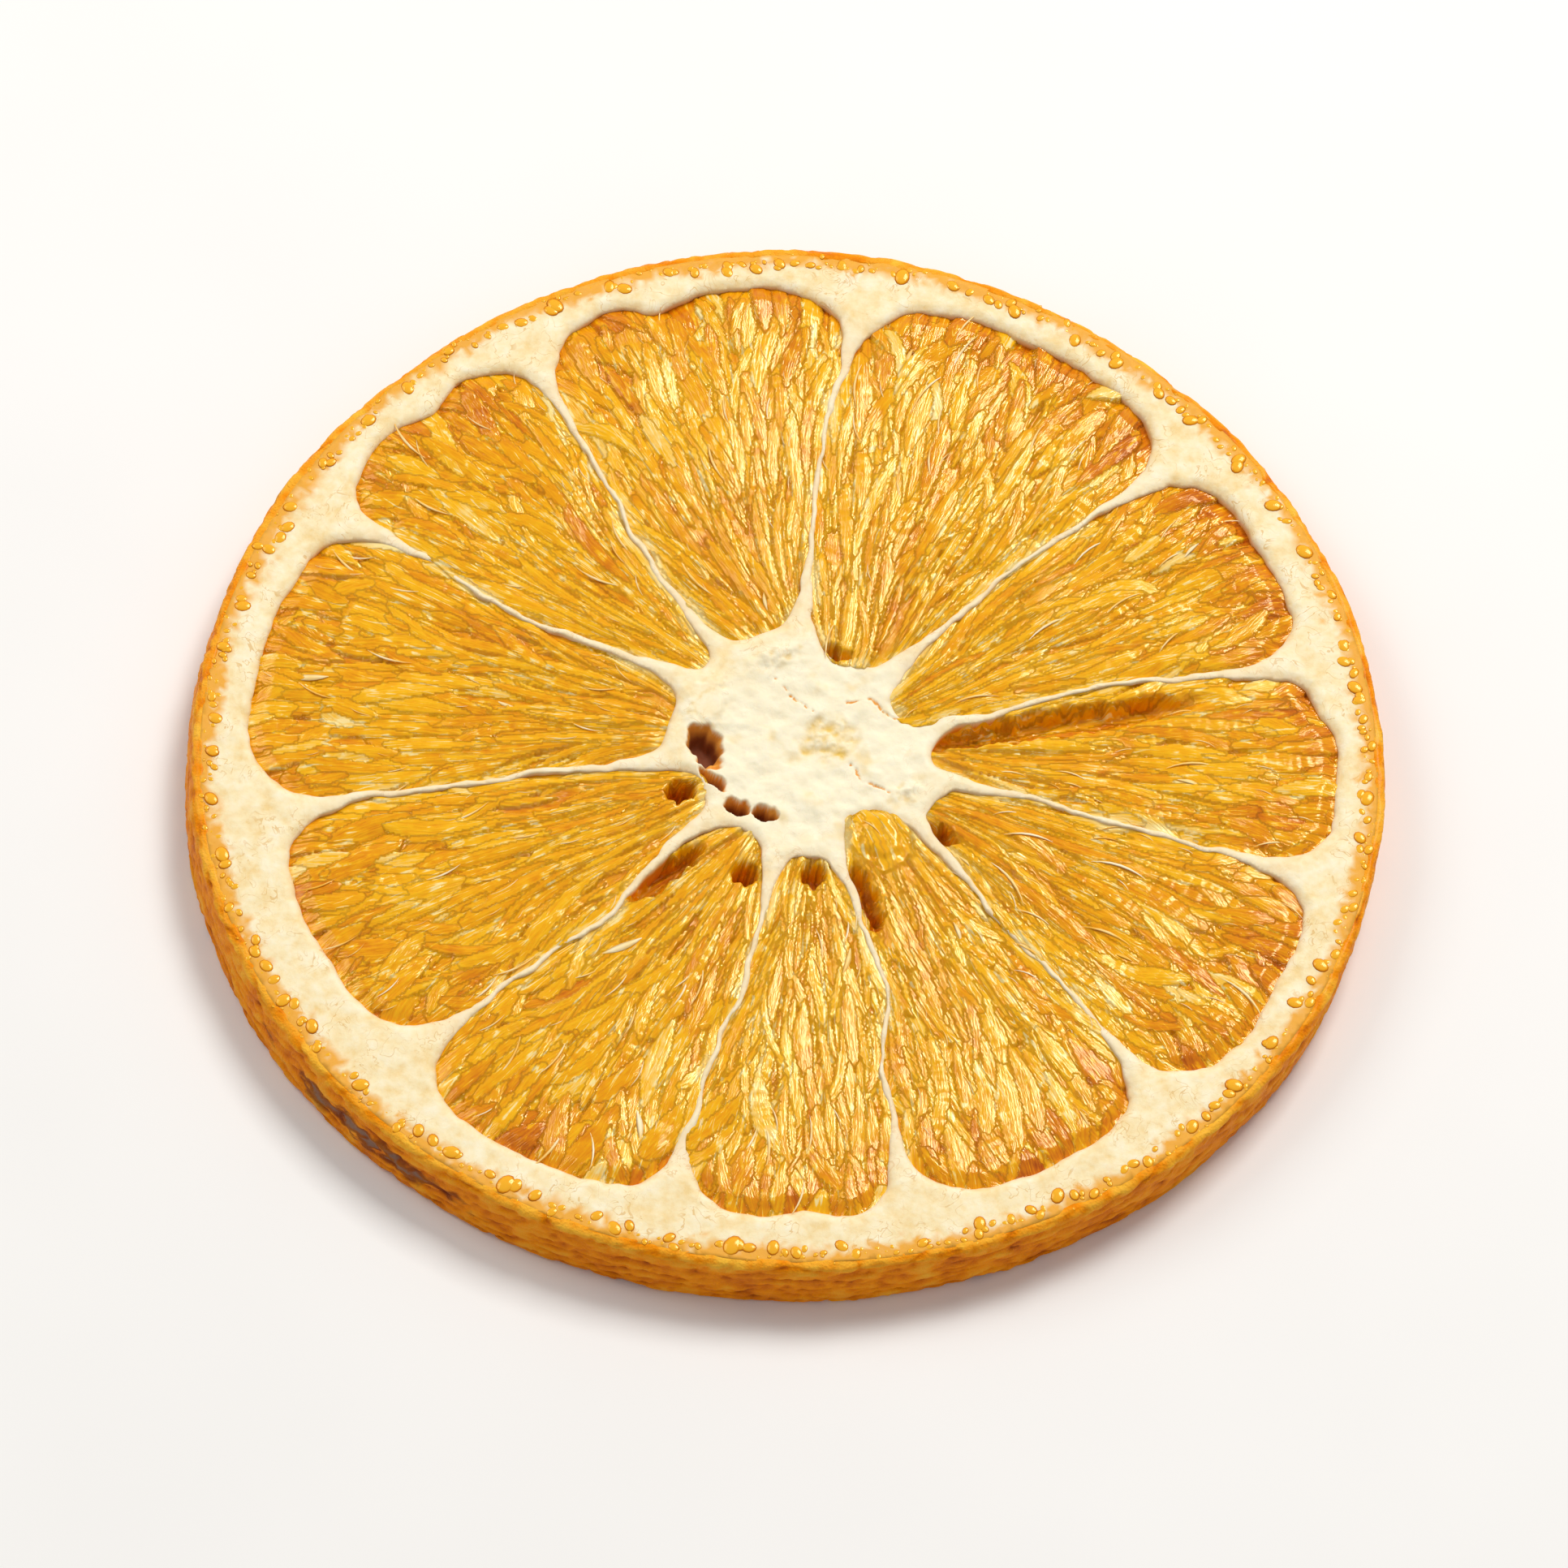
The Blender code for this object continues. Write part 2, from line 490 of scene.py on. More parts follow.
def paint(code):
    """The linear colour of an sRGB hex code."""
    shares = [int(code[k : k + 2], 16) / 255 for k in (1, 3, 5)]
    return (*(s / 12.92 if s <= 0.04045 else ((s + 0.055) / 1.055) ** 2.4 for s in shares), 1)


def add_node(tree, kind, inputs=None, stops=None, **settings):
    """Adds a node, with its settings, its links or values, and a ramp's colour stops."""
    node = tree.nodes.new(kind)
    for key, value in settings.items():
        setattr(node, key, value)
    for key, value in (inputs or {}).items():
        if isinstance(value, bpy.types.NodeSocket):
            tree.links.new(value, node.inputs[key])
        else:
            node.inputs[key].default_value = value
    if stops:
        elements = node.color_ramp.elements
        while len(elements) < len(stops):
            elements.new(1)
        for element, (position, code) in zip(elements, stops):
            element.position, element.color = position, paint(code)
    return node


# Each of these adds one node and gives the socket with its result.


def result(tree, kind, inputs=None, **settings):
    return add_node(tree, kind, inputs, **settings).outputs[0]


def math_node(tree, operation, *values):
    return result(tree, "ShaderNodeMath", dict(enumerate(values)), operation=operation)


def vector_node(tree, operation, inputs):
    return result(tree, "ShaderNodeVectorMath", inputs, operation=operation)


def place_node(tree):
    """The place on the object, in metres."""
    return add_node(tree, "ShaderNodeTexCoord").outputs["Object"]


def stored_node(tree, name, output="Fac"):
    """The numbers that the mesh holds for each point under a name."""
    return add_node(tree, "ShaderNodeAttribute", attribute_name=name).outputs[output]


def noise_node(tree, spot, scale, detail, **more):
    """Noise about 0.5, whose lumps are about 1 / scale across."""
    inputs = {"Vector": spot, "Scale": scale, "Detail": detail, **more}
    return add_node(tree, "ShaderNodeTexNoise", inputs).outputs["Fac"]


def range_node(tree, value, start, end, first, last):
    """Goes from first to last while the value goes from start to end."""
    inputs = {"Value": value, "From Min": start, "From Max": end, "To Min": first, "To Max": last}
    return add_node(tree, "ShaderNodeMapRange", inputs).outputs["Result"]


def ramp_node(tree, share, *stops):
    """A colour that follows a number through pairs of a position and a hex code."""
    return add_node(tree, "ShaderNodeValToRGB", {"Fac": share}, stops).outputs["Color"]


def stain_node(tree, share, colour, code):
    """The colour with this share of a hex code laid over it."""
    inputs = {0: share, 6: colour, 7: paint(code)}
    return add_node(tree, "ShaderNodeMix", inputs, data_type="RGBA").outputs[2]


def bump_node(tree, height, strength, distance):
    inputs = {"Height": height, "Strength": strength, "Distance": distance}
    return add_node(tree, "ShaderNodeBump", inputs).outputs["Normal"]


def new_material(name, **surface):
    """A material whose Principled shader has these fixed values, by socket name."""
    material = bpy.data.materials.new(name)
    material.use_nodes = True
    shader = material.node_tree.nodes["Principled BSDF"]
    for key, value in surface.items():
        shader.inputs[key.replace("_", " ")].default_value = value
    return material, material.node_tree


def finished(material, **sockets):
    """The material with these sockets linked to its Principled shader, by input name."""
    tree = material.node_tree
    for key, socket in sockets.items():
        tree.links.new(socket, tree.nodes["Principled BSDF"].inputs[key.replace("_", " ")])
    return material


def dried_juice():
    """Dried juice sacs: clear amber sugar in a thin skin.

    Light sinks in and glows back out orange, the skins shine a warm cream wherever
    they face the lamp, and pale threads of skin run out along the fan.
    """
    material, tree = new_material(
        "dried_juice",
        Subsurface_Weight=0.14,
        Subsurface_Radius=(1.0, 0.5, 0.1),
        Subsurface_Scale=0.0004,
        Roughness=0.09,
        IOR=1.55,
        Specular_Tint=(1.0, 0.82, 0.40, 1.0),
        Coat_Weight=0.30,
        Coat_Roughness=0.05,
    )
    # The stored places are in millimetres. Skin wrinkles are 0.1 mm apart and 1 mm long.
    sac = stored_node(tree, "sac", "Vector")
    stretched = vector_node(tree, "MULTIPLY", {0: sac, 1: (1.0, 8.0, 1.0)})
    wrinkles = noise_node(tree, stretched, 1.0, 2.0)
    # Cloudy patches inside the flesh, about 0.7 mm across.
    cloud = noise_node(tree, place_node(tree), 1400.0, 4.0)
    # Threads are thin lines, 0.4 mm apart and up to 5 mm long, that come and go.
    fan = stored_node(tree, "fan", "Vector")
    combed = vector_node(tree, "MULTIPLY", {0: fan, 1: (0.22, 2.6, 5.0)})
    strands = noise_node(tree, combed, 1.0, 1.5, Distortion=0.3)
    off_line = math_node(tree, "ABSOLUTE", math_node(tree, "SUBTRACT", strands, 0.5))
    line = range_node(tree, off_line, 0.006, 0.03, 1.0, 0.0)
    shown = range_node(tree, cloud, 0.42, 0.62, 0.0, 0.42)
    line = math_node(tree, "MULTIPLY", line, shown)
    shade = math_node(tree, "ADD", line, stored_node(tree, "tone"))
    # The wrinkles that the bump raises are painted lighter on their crests, as light. The cloud
    # is the flesh's own.
    for source, amount in ((wrinkles, 0.44), (cloud, 0.34)):
        share = math_node(tree, "MULTIPLY_ADD", source, amount, -amount / 2)
        shade = math_node(tree, "ADD", shade, share)
    colour = ramp_node(
        tree,
        shade,
        (0.00, "#A84400"),
        (0.20, "#DA7A00"),
        (0.42, "#F0A200"),
        (0.62, "#FBBC10"),
        (0.90, "#FFE49C"),
    )
    relief = bump_node(tree, wrinkles, 0.8, 0.00007)
    return finished(material, Base_Color=colour, Normal=relief, Coat_Normal=relief)


def dried_pith():
    """Dried pith and membrane: a soft white sponge that dries to a matt cream felt.

    Fine tan threads run through it, it browns towards the oily skin of the peel, and
    deep in the openings the membranes turn clear and amber.
    """
    material, tree = new_material(
        "dried_pith",
        Subsurface_Weight=0.15,
        Subsurface_Radius=(1.0, 0.8, 0.5),
        Subsurface_Scale=0.0002,
        Roughness=0.72,
    )
    spot = place_node(tree)
    # The felt's lumps are about 1 mm across, with finer lint on them.
    felt = noise_node(tree, spot, 1000.0, 6.0, Roughness=0.6)
    colour = ramp_node(tree, felt, (0.30, "#F3D595"), (0.50, "#FBE8BA"), (0.68, "#FEF2D2"))
    # Threads are the thin lines where a wandering noise crosses its middle value.
    wander = noise_node(tree, spot, 900.0, 2.0, Distortion=1.2)
    thread = math_node(tree, "COMPARE", wander, 0.5, 0.012)
    shown = range_node(tree, noise_node(tree, spot, 500.0, 1.0), 0.45, 0.6, 0.0, 0.6)
    colour = stain_node(tree, math_node(tree, "MULTIPLY", thread, shown), colour, "#DDAE5C")
    # The mesh holds the stains: a whitened core, amber depth and cracks, tan rim and yellow
    # crumb.
    # It also holds painted light, membranes painted whiter as a glow of light through them,
    # and painted shade, dark red-brown deep in the pits.
    for name, code in (
        ("white", "#FBF2D6"),
        ("amber", "#E8960C"),
        ("tan", "#F0A81E"),
        ("crumb", "#E6C05C"),
        # Painted shade: dark red-brown deep in the pits.
        ("pit", "#74280A"),
    ):
        colour = stain_node(tree, stored_node(tree, name), colour, code)
    return finished(material, Base_Color=colour, Normal=bump_node(tree, felt, 0.6, 0.00012))


def dried_peel():
    """The peel's coloured skin, dried to a tight orange leather.

    Oil keeps it half glossy, and one long bruise is red-brown with a grey scuff along
    its middle. Its tone holds painted shade, darker brown where the wall sinks into
    folds, pores and grooves, and painted light on its raised wrinkles and top edge.
    """
    material, tree = new_material(
        "dried_peel",
        Subsurface_Weight=0.1,
        Subsurface_Radius=(1.0, 0.4, 0.1),
        Subsurface_Scale=0.0003,
        Specular_IOR_Level=0.05,
        Coat_Weight=0.1,
        Coat_Roughness=0.2,
    )
    spot = place_node(tree)
    # Blotches about 1.4 mm across lie over the stored tone: painted shade in the folds,
    # pores and grooves, and painted light on the raised wrinkles and the top edge.
    blotch = noise_node(tree, spot, 700.0, 5.0)
    shade = math_node(tree, "MULTIPLY_ADD", blotch, 0.8, stored_node(tree, "wrinkle"))
    colour = ramp_node(
        tree,
        shade,
        (0.02, "#984000"),
        (0.24, "#DE7400"),
        (0.48, "#FA9400"),
        (0.88, "#FFC03C"),
    )
    bruise = stored_node(tree, "bruise")
    for start, end, code in ((0.25, 0.5, "#702C0C"), (0.7, 0.95, "#8C7466")):
        share = range_node(tree, bruise, start, end, 0.0, 0.75)
        colour = stain_node(tree, share, colour, code)
    # Fine grain between the pores, about 0.15 mm.
    relief = bump_node(tree, noise_node(tree, spot, 6500.0, 3.0), 0.8, 0.00012)
    gloss = range_node(tree, blotch, 0.3, 0.7, 0.36, 0.6)
    return finished(material, Base_Color=colour, Roughness=gloss, Normal=relief)


def oil_bead():
    """Oil glands cut open at the rim: clear amber beads, with painted light on top and painted
    shade below.
    """
    material, tree = new_material(
        "oil_bead",
        Subsurface_Weight=0.1,
        Subsurface_Radius=(1.0, 0.4, 0.1),
        Subsurface_Scale=0.0003,
        Roughness=0.12,
        Specular_Tint=(1.0, 0.85, 0.5, 1.0),
    )
    blotch = noise_node(tree, place_node(tree), 900.0, 3.0)
    # The bead's height paints it lighter on top and darker below, as painted light and shade.
    shade = math_node(tree, "MULTIPLY_ADD", blotch, 0.6, stored_node(tree, "rise"))
    colour = ramp_node(
        tree, shade, (0.40, "#A85400"), (0.65, "#D87E00"), (0.85, "#F09A06"), (1.0, "#FAB42A")
    )
    return finished(material, Base_Color=colour)


def dry_skin():
    """Loose sac skin: thin, pale, slightly glossy, and browner in places."""
    material, tree = new_material("dry_skin", Roughness=0.42)
    blotch = noise_node(tree, place_node(tree), 500.0, 3.0)
    colour = ramp_node(tree, blotch, (0.35, "#F8B834"), (0.5, "#FDD680"), (0.68, "#FFF0C8"))
    return finished(material, Base_Color=colour)


# ---------------------------------------------------------------- the juice segments


def slot_holes(points, places, floor=0.55):
    """How deep the points lie in a set of hollows, each flat over a share of its width."""
    drop = np.zeros(len(points))
    for bearing, reach, length, width, turn, depth in places:
        along = heading(bearing + turn)
        away = points - place(bearing, reach)
        u, v = away @ along, away @ np.array((-along[1], along[0]))
        u = u + 0.42 * rough(*(away * 1.15).T, 5, 2)
        v = v + 0.42 * rough(*(away * 1.15).T, 6, 2)
        far = np.sqrt((2 * u / length) ** 2 + (2 * v / width) ** 2)
        drop = np.maximum(drop, depth * (1 - ease(far, floor, 1.1)))
    return drop


def blend_max(first, second, softness):
    """The larger of two heights, with the crease between them filled a little."""
    near = np.clip(softness - np.abs(first - second), 0, None)
    return np.maximum(first, second) + near**2 / (4 * softness)


def fan_of(points, number, seed):
    """Each point's share of the way out, its fan direction, and its place in the fan.

    The sacs fan out from a root inside the core. The place is the distance from the
    root and the distance along an arc, in millimetres.
    """
    inner, share = SEGMENTS[number]
    middle, _ = wedge(number, REACHES[3])
    reach = from_core(points)
    rim = reach_to_ring(share, bearing_of(points))
    outward = np.clip((reach - inner) / (rim - inner), 0, 1)
    aim = points - place(middle, inner - SAC_ROOT)
    sway = FAN_SWAY * noise(*(points / 4.5).T, seed)
    turned = angle_of(aim) + sway
    off_middle = (turned - middle + 180) % 360 - 180
    arc = FAN_RADIUS * np.radians(off_middle - sway)
    return outward, heading(turned), np.stack([np.hypot(*aim.T), arc], -1)


def bed_of_sacs(points, number, seed):
    """Overlapping juice sacs that fan out from a segment's inner end.

    Gives each point's share of the way out, its height over the bed, its tone, its fan
    direction and place, and its place on the sac that covers it: along, across and the
    sac's own number.
    """
    rng = np.random.default_rng(seed)
    outward, flow, fan = fan_of(points, number, seed)
    side = np.stack([-flow[:, 1], flow[:, 0]], -1)
    x, y = points.T
    height = -0.12 + 0.05 * rough(x / 0.9, y / 0.9, seed)
    tone = 0.36 + 0.10 * rough(x / 1.3, y / 1.3, seed + 1)
    sac = np.column_stack([fan, np.zeros(len(x))])
    for k, seat in enumerate(rng.integers(0, len(points), SACS_PER_SEGMENT)):
        size, lie, tilt = rng.random(5), *np.clip(rng.normal(size=2), -2, 2)
        # Sacs near the core are long and thin, and those near the peel short and plump.
        plump = outward[seat] ** 1.7
        length = (7.5 - 3.4 * plump) * (0.7 + 0.6 * size[0])
        width = (0.50 + 0.85 * plump) * (0.6 + 0.9 * size[1])
        turn = np.radians((5 + 15 * plump) * lie)
        along = flow[seat] * np.cos(turn) + side[seat] * np.sin(turn)
        near = np.nonzero((np.abs(points - points[seat]) < length / 2).all(1))[0]
        away = points[near] - points[seat]
        u = away @ along
        v = away @ np.array((-along[1], along[0])) - 0.04 * lie * u * u
        t = np.clip(2 * u / length, -1, 1)
        fullness = 1 - t * t
        half = width / 2 * (1 + 0.35 * t) * fullness**0.6 + 1e-6
        dome = np.clip(1 - (v / half) ** 2, 0, 1)
        rise = (0.02 + 0.07 * width) * dome ** (0.8 - 0.3 * plump) * fullness**0.4
        top = 0.13 * size[2] - 0.10 + rise
        top += plump * (0.15 * tilt * v + 0.06 * (size[3] - 0.5) * t)
        covers = dome > 0
        near, top, u, v, half, dome = (a[covers] for a in (near, top, u, v, half, dome))
        won = top > height[near]
        skin = np.exp(-(((half - np.abs(v)) / 0.07) ** 2))
        height[near] = blend_max(height[near], top, 0.07)
        sac[near[won]] = np.stack([u[won], v[won], np.full(won.sum(), k + 1.0)], -1)
        # The dome term paints each sac a little lighter towards its top, as light.
        shade = 0.35 + 0.18 * size[4] + 0.05 * dome + 0.12 * size[0] * skin
        shade += 0.36 * plump * ease(size[3], 0.84, 1.0) - 0.12 * (1 - ease(size[3], 0.0, 0.25))
        tone[near[won]] = shade[won]
    # The whole bed sags and swells in folds along the fan. Short wrinkles run along
    # most sacs, and across one in five.
    far, arc = fan.T
    u, v, own = sac.T
    crossed = lattice(own, own, seed) < 0.2
    slow, fast = np.where(crossed, v / 1.0, u / 1.6), np.where(crossed, u / 0.36, v / 0.24)
    wrinkle = noise(slow + 7 * own, fast + 3 * own, seed)
    folds = noise(arc / 1.7, far / 6, seed + 2)
    threads = 1 - 2.2 * np.abs(noise(arc / 0.45, far / 5, seed + 3))
    patch = 0.5 + 0.5 * noise(x / 2.1, y / 2.1, seed + 5)
    height = height + 0.09 * folds + 0.026 * wrinkle + 0.024 * threads * patch
    # The tone rises with the folds and wrinkles, painted light on their crests.
    tone = tone + 0.05 * folds + 0.05 * wrinkle + 0.06 * noise(x / 4, y / 4, seed + 6)
    to_right = 0.5 + 0.5 * np.cos(np.radians(bearing_of(points) - 10))
    tone = tone - (0.07 + 0.13 * to_right) * ease(outward, 0.72, 1.0)
    return outward, height, tone, flow, fan, sac


def segment_face(number, outline, face):
    """One face of a segment: its points, its triangles and its numbers by name."""
    tucked = outline + outward_of(outline) * TUCK
    step = PULP_STEP if face > 0 else PULP_STEP_BELOW
    grid = staggered_grid(tucked, step)
    grid = grid[depth_inside(grid, tucked) > 0.5 * step]
    points, triangles = triangulate([tucked], grid)
    inside = depth_inside(points, outline)
    seed = SEED + 100 * number + face
    outward, height, tone, flow, fan, sac = bed_of_sacs(points, number, seed)
    # The bed lies 0.3 mm down and sinks further at its edge, most at the outer end.
    edge = 0.12 + 0.17 * ease(outward, 0.80, 0.95)
    skirt = (1 - ease(inside, 0.05, 0.8)) * (1 - ease(outward, 0.6, 0.9))
    tone = tone + skirt * (0.16 + 0.22 * noise(*(points / 2.0).T, 4))
    sink = 0.30 + edge * (1 - ease(inside, 0, 1.0)) + 0.08 * noise(*(points / 5).T, 3)
    level = height - sink
    if face > 0:
        bulb = slot_holes(points, BULBS, 0.0)
        plump = 1.0 * np.sqrt(bulb) - 0.85 + 0.3 * (level + 0.4)
        level = np.where(bulb > 0, np.maximum(level, plump), level)
        tone = tone + ease(bulb, 0, 0.3) * (0.56 - tone) * 0.85
        smooth = (1 - 0.85 * ease(bulb, 0.0, 0.1))[:, None]
        sac, fan = sac * smooth, fan * smooth
        hollow = slot_holes(points, HOLLOWS)
        level = level - hollow
        # The hollows are painted darker, as shade.
        tone = tone - 0.14 * hollow
    level = np.minimum(level, -0.04 - 0.12 * (1 - ease(inside, 0, 0.4)))
    z = THICKNESS + level if face > 0 else -RELIEF_BELOW * level
    flat = np.zeros(len(points))
    numbers = {
        "tone": tone,
        "flow": np.column_stack([flow, flat]),
        "fan": np.column_stack([fan, flat + number]),
        "sac": sac,
    }
    return np.column_stack([points, z]), triangles, numbers


def make_segment(number, outline, material):
    """One segment: a closed slab of sacs whose sides are tucked into the pith."""
    above, upper, numbers = segment_face(number, outline, 1)
    below, lower, numbers_below = segment_face(number, outline, -1)
    edge = np.arange(len(outline))
    lower = lower[:, ::-1] + len(above)
    triangles = np.vstack([upper, lower, wall_between(edge, edge + len(above))])
    numbers = {key: np.concatenate([numbers[key], numbers_below[key]]) for key in numbers}
    name = f"segment_{number + 1:02d}"
    return new_piece(name, np.vstack([above, below]), triangles, material, numbers)


# ---------------------------------------------------------------- the pith


def nearest_openings(points, outlines):
    """The distances to the nearest and the second nearest segment's opening."""
    nearest = np.full((len(points), 2), 5.0)
    for loop in outlines:
        near = in_box(points, loop, 2.5)
        found = np.abs(depth_inside(points[near], loop))
        nearest[near] = np.sort(np.column_stack([nearest[near], found]), 1)[:, :2]
    return nearest


def core_relief(points, level):
    """The core's own shape, and how crumbled and how pitted or cracked it is."""
    x, y = (points - CORE).T
    crumb, crack = np.zeros((2, len(points)))
    pit = slot_holes(points, PITS, 0.5)
    # The core dips 0.24 mm below the pith, with swells about 3 mm across.
    inner = 1 - ease(from_core(points), 4.5, 8.0)
    swells = 0.22 * rough(x / 2.6, y / 2.6, 12) + 0.07 * noise(x, y, 13) - 0.24
    height = level - pit + inner * swells
    # The cracks wander by 0.2 mm, gape up to 0.1 mm and fade out in places.
    astray = np.stack([rough(x / 0.9, y / 0.9, seed) for seed in (8, 18)], -1)
    gape = np.clip(0.8 + 0.8 * noise(x * 1.1, y * 1.1, 9), 0, 1)
    for path in CRACKS:
        far = np.full(len(points), 9.0)
        for a, b in zip(np.array(path), np.array(path[1:])):
            away = np.stack([x, y], -1) - a
            share = np.clip(away @ (b - a) / ((b - a) ** 2).sum(), 0, 1)
            gap = away - share[:, None] * (b - a) + 0.22 * astray
            far = np.minimum(far, np.hypot(*gap.T))
        height -= 0.16 * gape * (1 - ease(far, 0.0, 0.13))
        crack = np.maximum(crack, gape * (1 - ease(far, 0.0, 0.10)))
    # Its middle has crumbled over about 3 mm.
    far = np.hypot(x - 0.25, y - 0.6) + 0.5 * noise(x * 1.3, y * 1.3, 4)
    middle = 1 - ease(far, 0.9, 1.9)
    grit = rough(x * 1.5, y * 1.5, 11, 4)
    height += middle * (0.16 * grit - 0.10)
    crumb = np.maximum(crumb, middle * (0.50 - 0.9 * grit))
    crumb = np.maximum(crumb, 0.5 * inner * ease(rough(x / 1.6, y / 1.6, 14), 0.15, 0.8))
    for bearing, reach, length, width, turn, rise in LUMPS:
        lump = slot_holes(points, [(bearing, reach, length, width, turn, 1.0)], 0.0)
        fuzz = rough(x * 1.3, y * 1.3, 17, 3)
        height += lump * (rise + 0.20 * fuzz)
        crumb = np.maximum(crumb, 0.5 * ease(lump, 0.0, 0.4) * ease(-fuzz, 0.1, 0.6))
    return height, crumb, pit + 0.55 * crack


def make_pith(outlines, material):
    """The ring, the core and the membranes, as one closed piece with round lips."""
    angle = np.arange(0, 360, 0.5)
    rim = evenly(heading(angle) * (peel_radius(angle) - RIM_LAP)[:, None], 2 * OUTLINE_STEP)
    faces = []
    for face, step in ((1, PITH_STEP), (-1, 1.5 * PITH_STEP)):
        grid = staggered_grid(rim, step)
        grid = grid[inside_peel(grid) > RIM_LAP + 0.5 * step]
        if face > 0:
            fine = staggered_grid(place(np.arange(0, 360, 5), FINE_REACH), CORE_STEP)
            kept = from_core(grid) > FINE_REACH, from_core(fine) <= FINE_REACH
            grid = np.vstack([grid[kept[0]], fine[kept[1]]])
        for loop in outlines:
            near = in_box(grid, loop)
            hit = np.zeros(len(grid), bool)
            hit[near] = depth_inside(grid[near], loop) > 0
            grid = grid[~hit]
        gaps = nearest_openings(grid, outlines)
        sparse = (gaps[:, 0] > SPARSE_GAP) & (from_core(grid) > SPARSE_REACH)
        rows = np.round(grid[:, 1] / (step * np.sqrt(3) / 2)).astype(int)
        columns = np.round(grid[:, 0] / step).astype(int)
        dropped = sparse & ((rows % 2 == 1) | (columns % 2 == 1))
        grid = grid[(gaps[:, 0] > 0.45 * step) & ~dropped]
        points, triangles = triangulate([rim, *outlines], grid)
        triangles = without_openings(points, triangles, len(rim), outlines)
        faces.append((points, triangles, nearest_openings(points, outlines)))
    made = []
    for (points, triangles, gaps), face in zip(faces, (1, -1)):
        level, marks = pith_relief(points, gaps, face)
        z = THICKNESS + np.minimum(level, PITH_RISE) if face > 0 else -RELIEF_BELOW * level
        made.append((np.column_stack([points, z]), triangles, marks))
    (above, upper, marks_up), (below, lower, marks_down) = made
    # The openings' walls go down in rings, clear amber in between the two faces.
    lengths = [len(rim), *map(len, outlines)]
    count = sum(lengths)
    loops = np.split(np.arange(count), np.cumsum(lengths)[:-1])
    rings = [above[:count] * (1 - share) + below[:count] * share for share in WALL_LEVELS]
    points = np.vstack([above, *rings, below])
    starts = [0, *(len(above) + k * count for k in range(len(WALL_LEVELS) + 1))]
    triangles = [upper, lower[:, ::-1] + starts[-1]]
    for top_start, low_start in zip(starts, starts[1:]):
        for k, loop in enumerate(loops):
            wall = wall_between(top_start + loop, low_start + loop)
            triangles.append(wall if k == 0 else wall[:, ::-1])
    numbers = {}
    for name in marks_up:
        between = np.full(len(WALL_LEVELS) * count, 1.0 if name == "amber" else 0.0)
        numbers[name] = np.concatenate([marks_up[name], between, marks_down[name]])
    return new_piece("pith", points, np.vstack(triangles), material, numbers)


def pith_relief(points, gaps, face):
    """The pith's height over its face's plane, and the stains that colour it."""
    x, y = points.T
    seed = SEED + face
    thin = 1 - ease(gaps.sum(1), 0.5, 2.4)
    # The lips of the openings roll down 0.24 mm, over 0.6 mm. The membranes dip as well.
    lip = 0.24 * (1 - np.clip(gaps[:, 0] / 0.6, 0, 1)) ** 2 * (1 - 0.6 * thin)
    level = -0.06 - lip - thin * (0.09 + 0.14 * noise(x / 2.6, y / 2.6, seed))
    level += 0.06 * rough(x / 2.4, y / 2.4, seed) + 0.035 * rough(x / 0.6, y / 0.6, seed)
    depth = np.clip(-level - 0.10, 0, 1) * 0.9
    level, crumb, pit = core_relief(points, level) if face > 0 else (level, 0 * x, 0 * x)
    oily = 1.5 - 0.9 * inside_peel(points) + 0.75 * rough(x / 0.55, y / 0.55, seed + 6)
    whitened = from_core(points) + noise(x / 1.5, y / 1.5, seed + 7)
    return level, {
        # The core is whiter, and thin membranes are painted whiter as a glow of light through
        # them.
        "white": np.maximum(0.8 * (1 - ease(whitened, 5.0, 9.0)), 0.4 * thin),
        "amber": np.maximum(depth, 0.95 * ease(pit + 0.05 * noise(x * 2, y * 2, 3), 0.03, 0.25)),
        "tan": 0.95 * ease(oily + 0.35 * noise(x / 5, y / 5, seed + 5), 0.25, 0.70),
        "crumb": crumb,
        # Painted shade: the pith turns dark red-brown deep in the pits.
        "pit": 0.9 * ease(pit, 0.4, 1.1),
    }


def without_openings(points, triangles, first, outlines):
    """The triangles less those that the triangulation laid across an opening."""
    owner = np.full(len(points), -1)
    start = first
    for k, loop in enumerate(outlines):
        owner[start : start + len(loop)] = k
        start += len(loop)
    corners = owner[triangles]
    same = (corners == corners[:, :1]).all(1) & (corners[:, 0] >= 0)
    across = np.zeros(len(triangles), bool)
    for k, loop in enumerate(outlines):
        mine = np.nonzero(same & (corners[:, 0] == k))[0]
        if len(mine):
            across[mine] = depth_inside(points[triangles[mine]].mean(1), loop) > 0
    return triangles[~across]


# ---------------------------------------------------------------- the peel


def wall_noise(pattern, arc, z):
    """A pattern on the unrolled wall, faded into itself over the 8 mm where it closes."""
    whole = TAU * PEEL_RADIUS
    fade = ease(arc, whole - 8, whole)
    return pattern(arc, z) * (1 - fade) + pattern(arc - whole, z) * fade


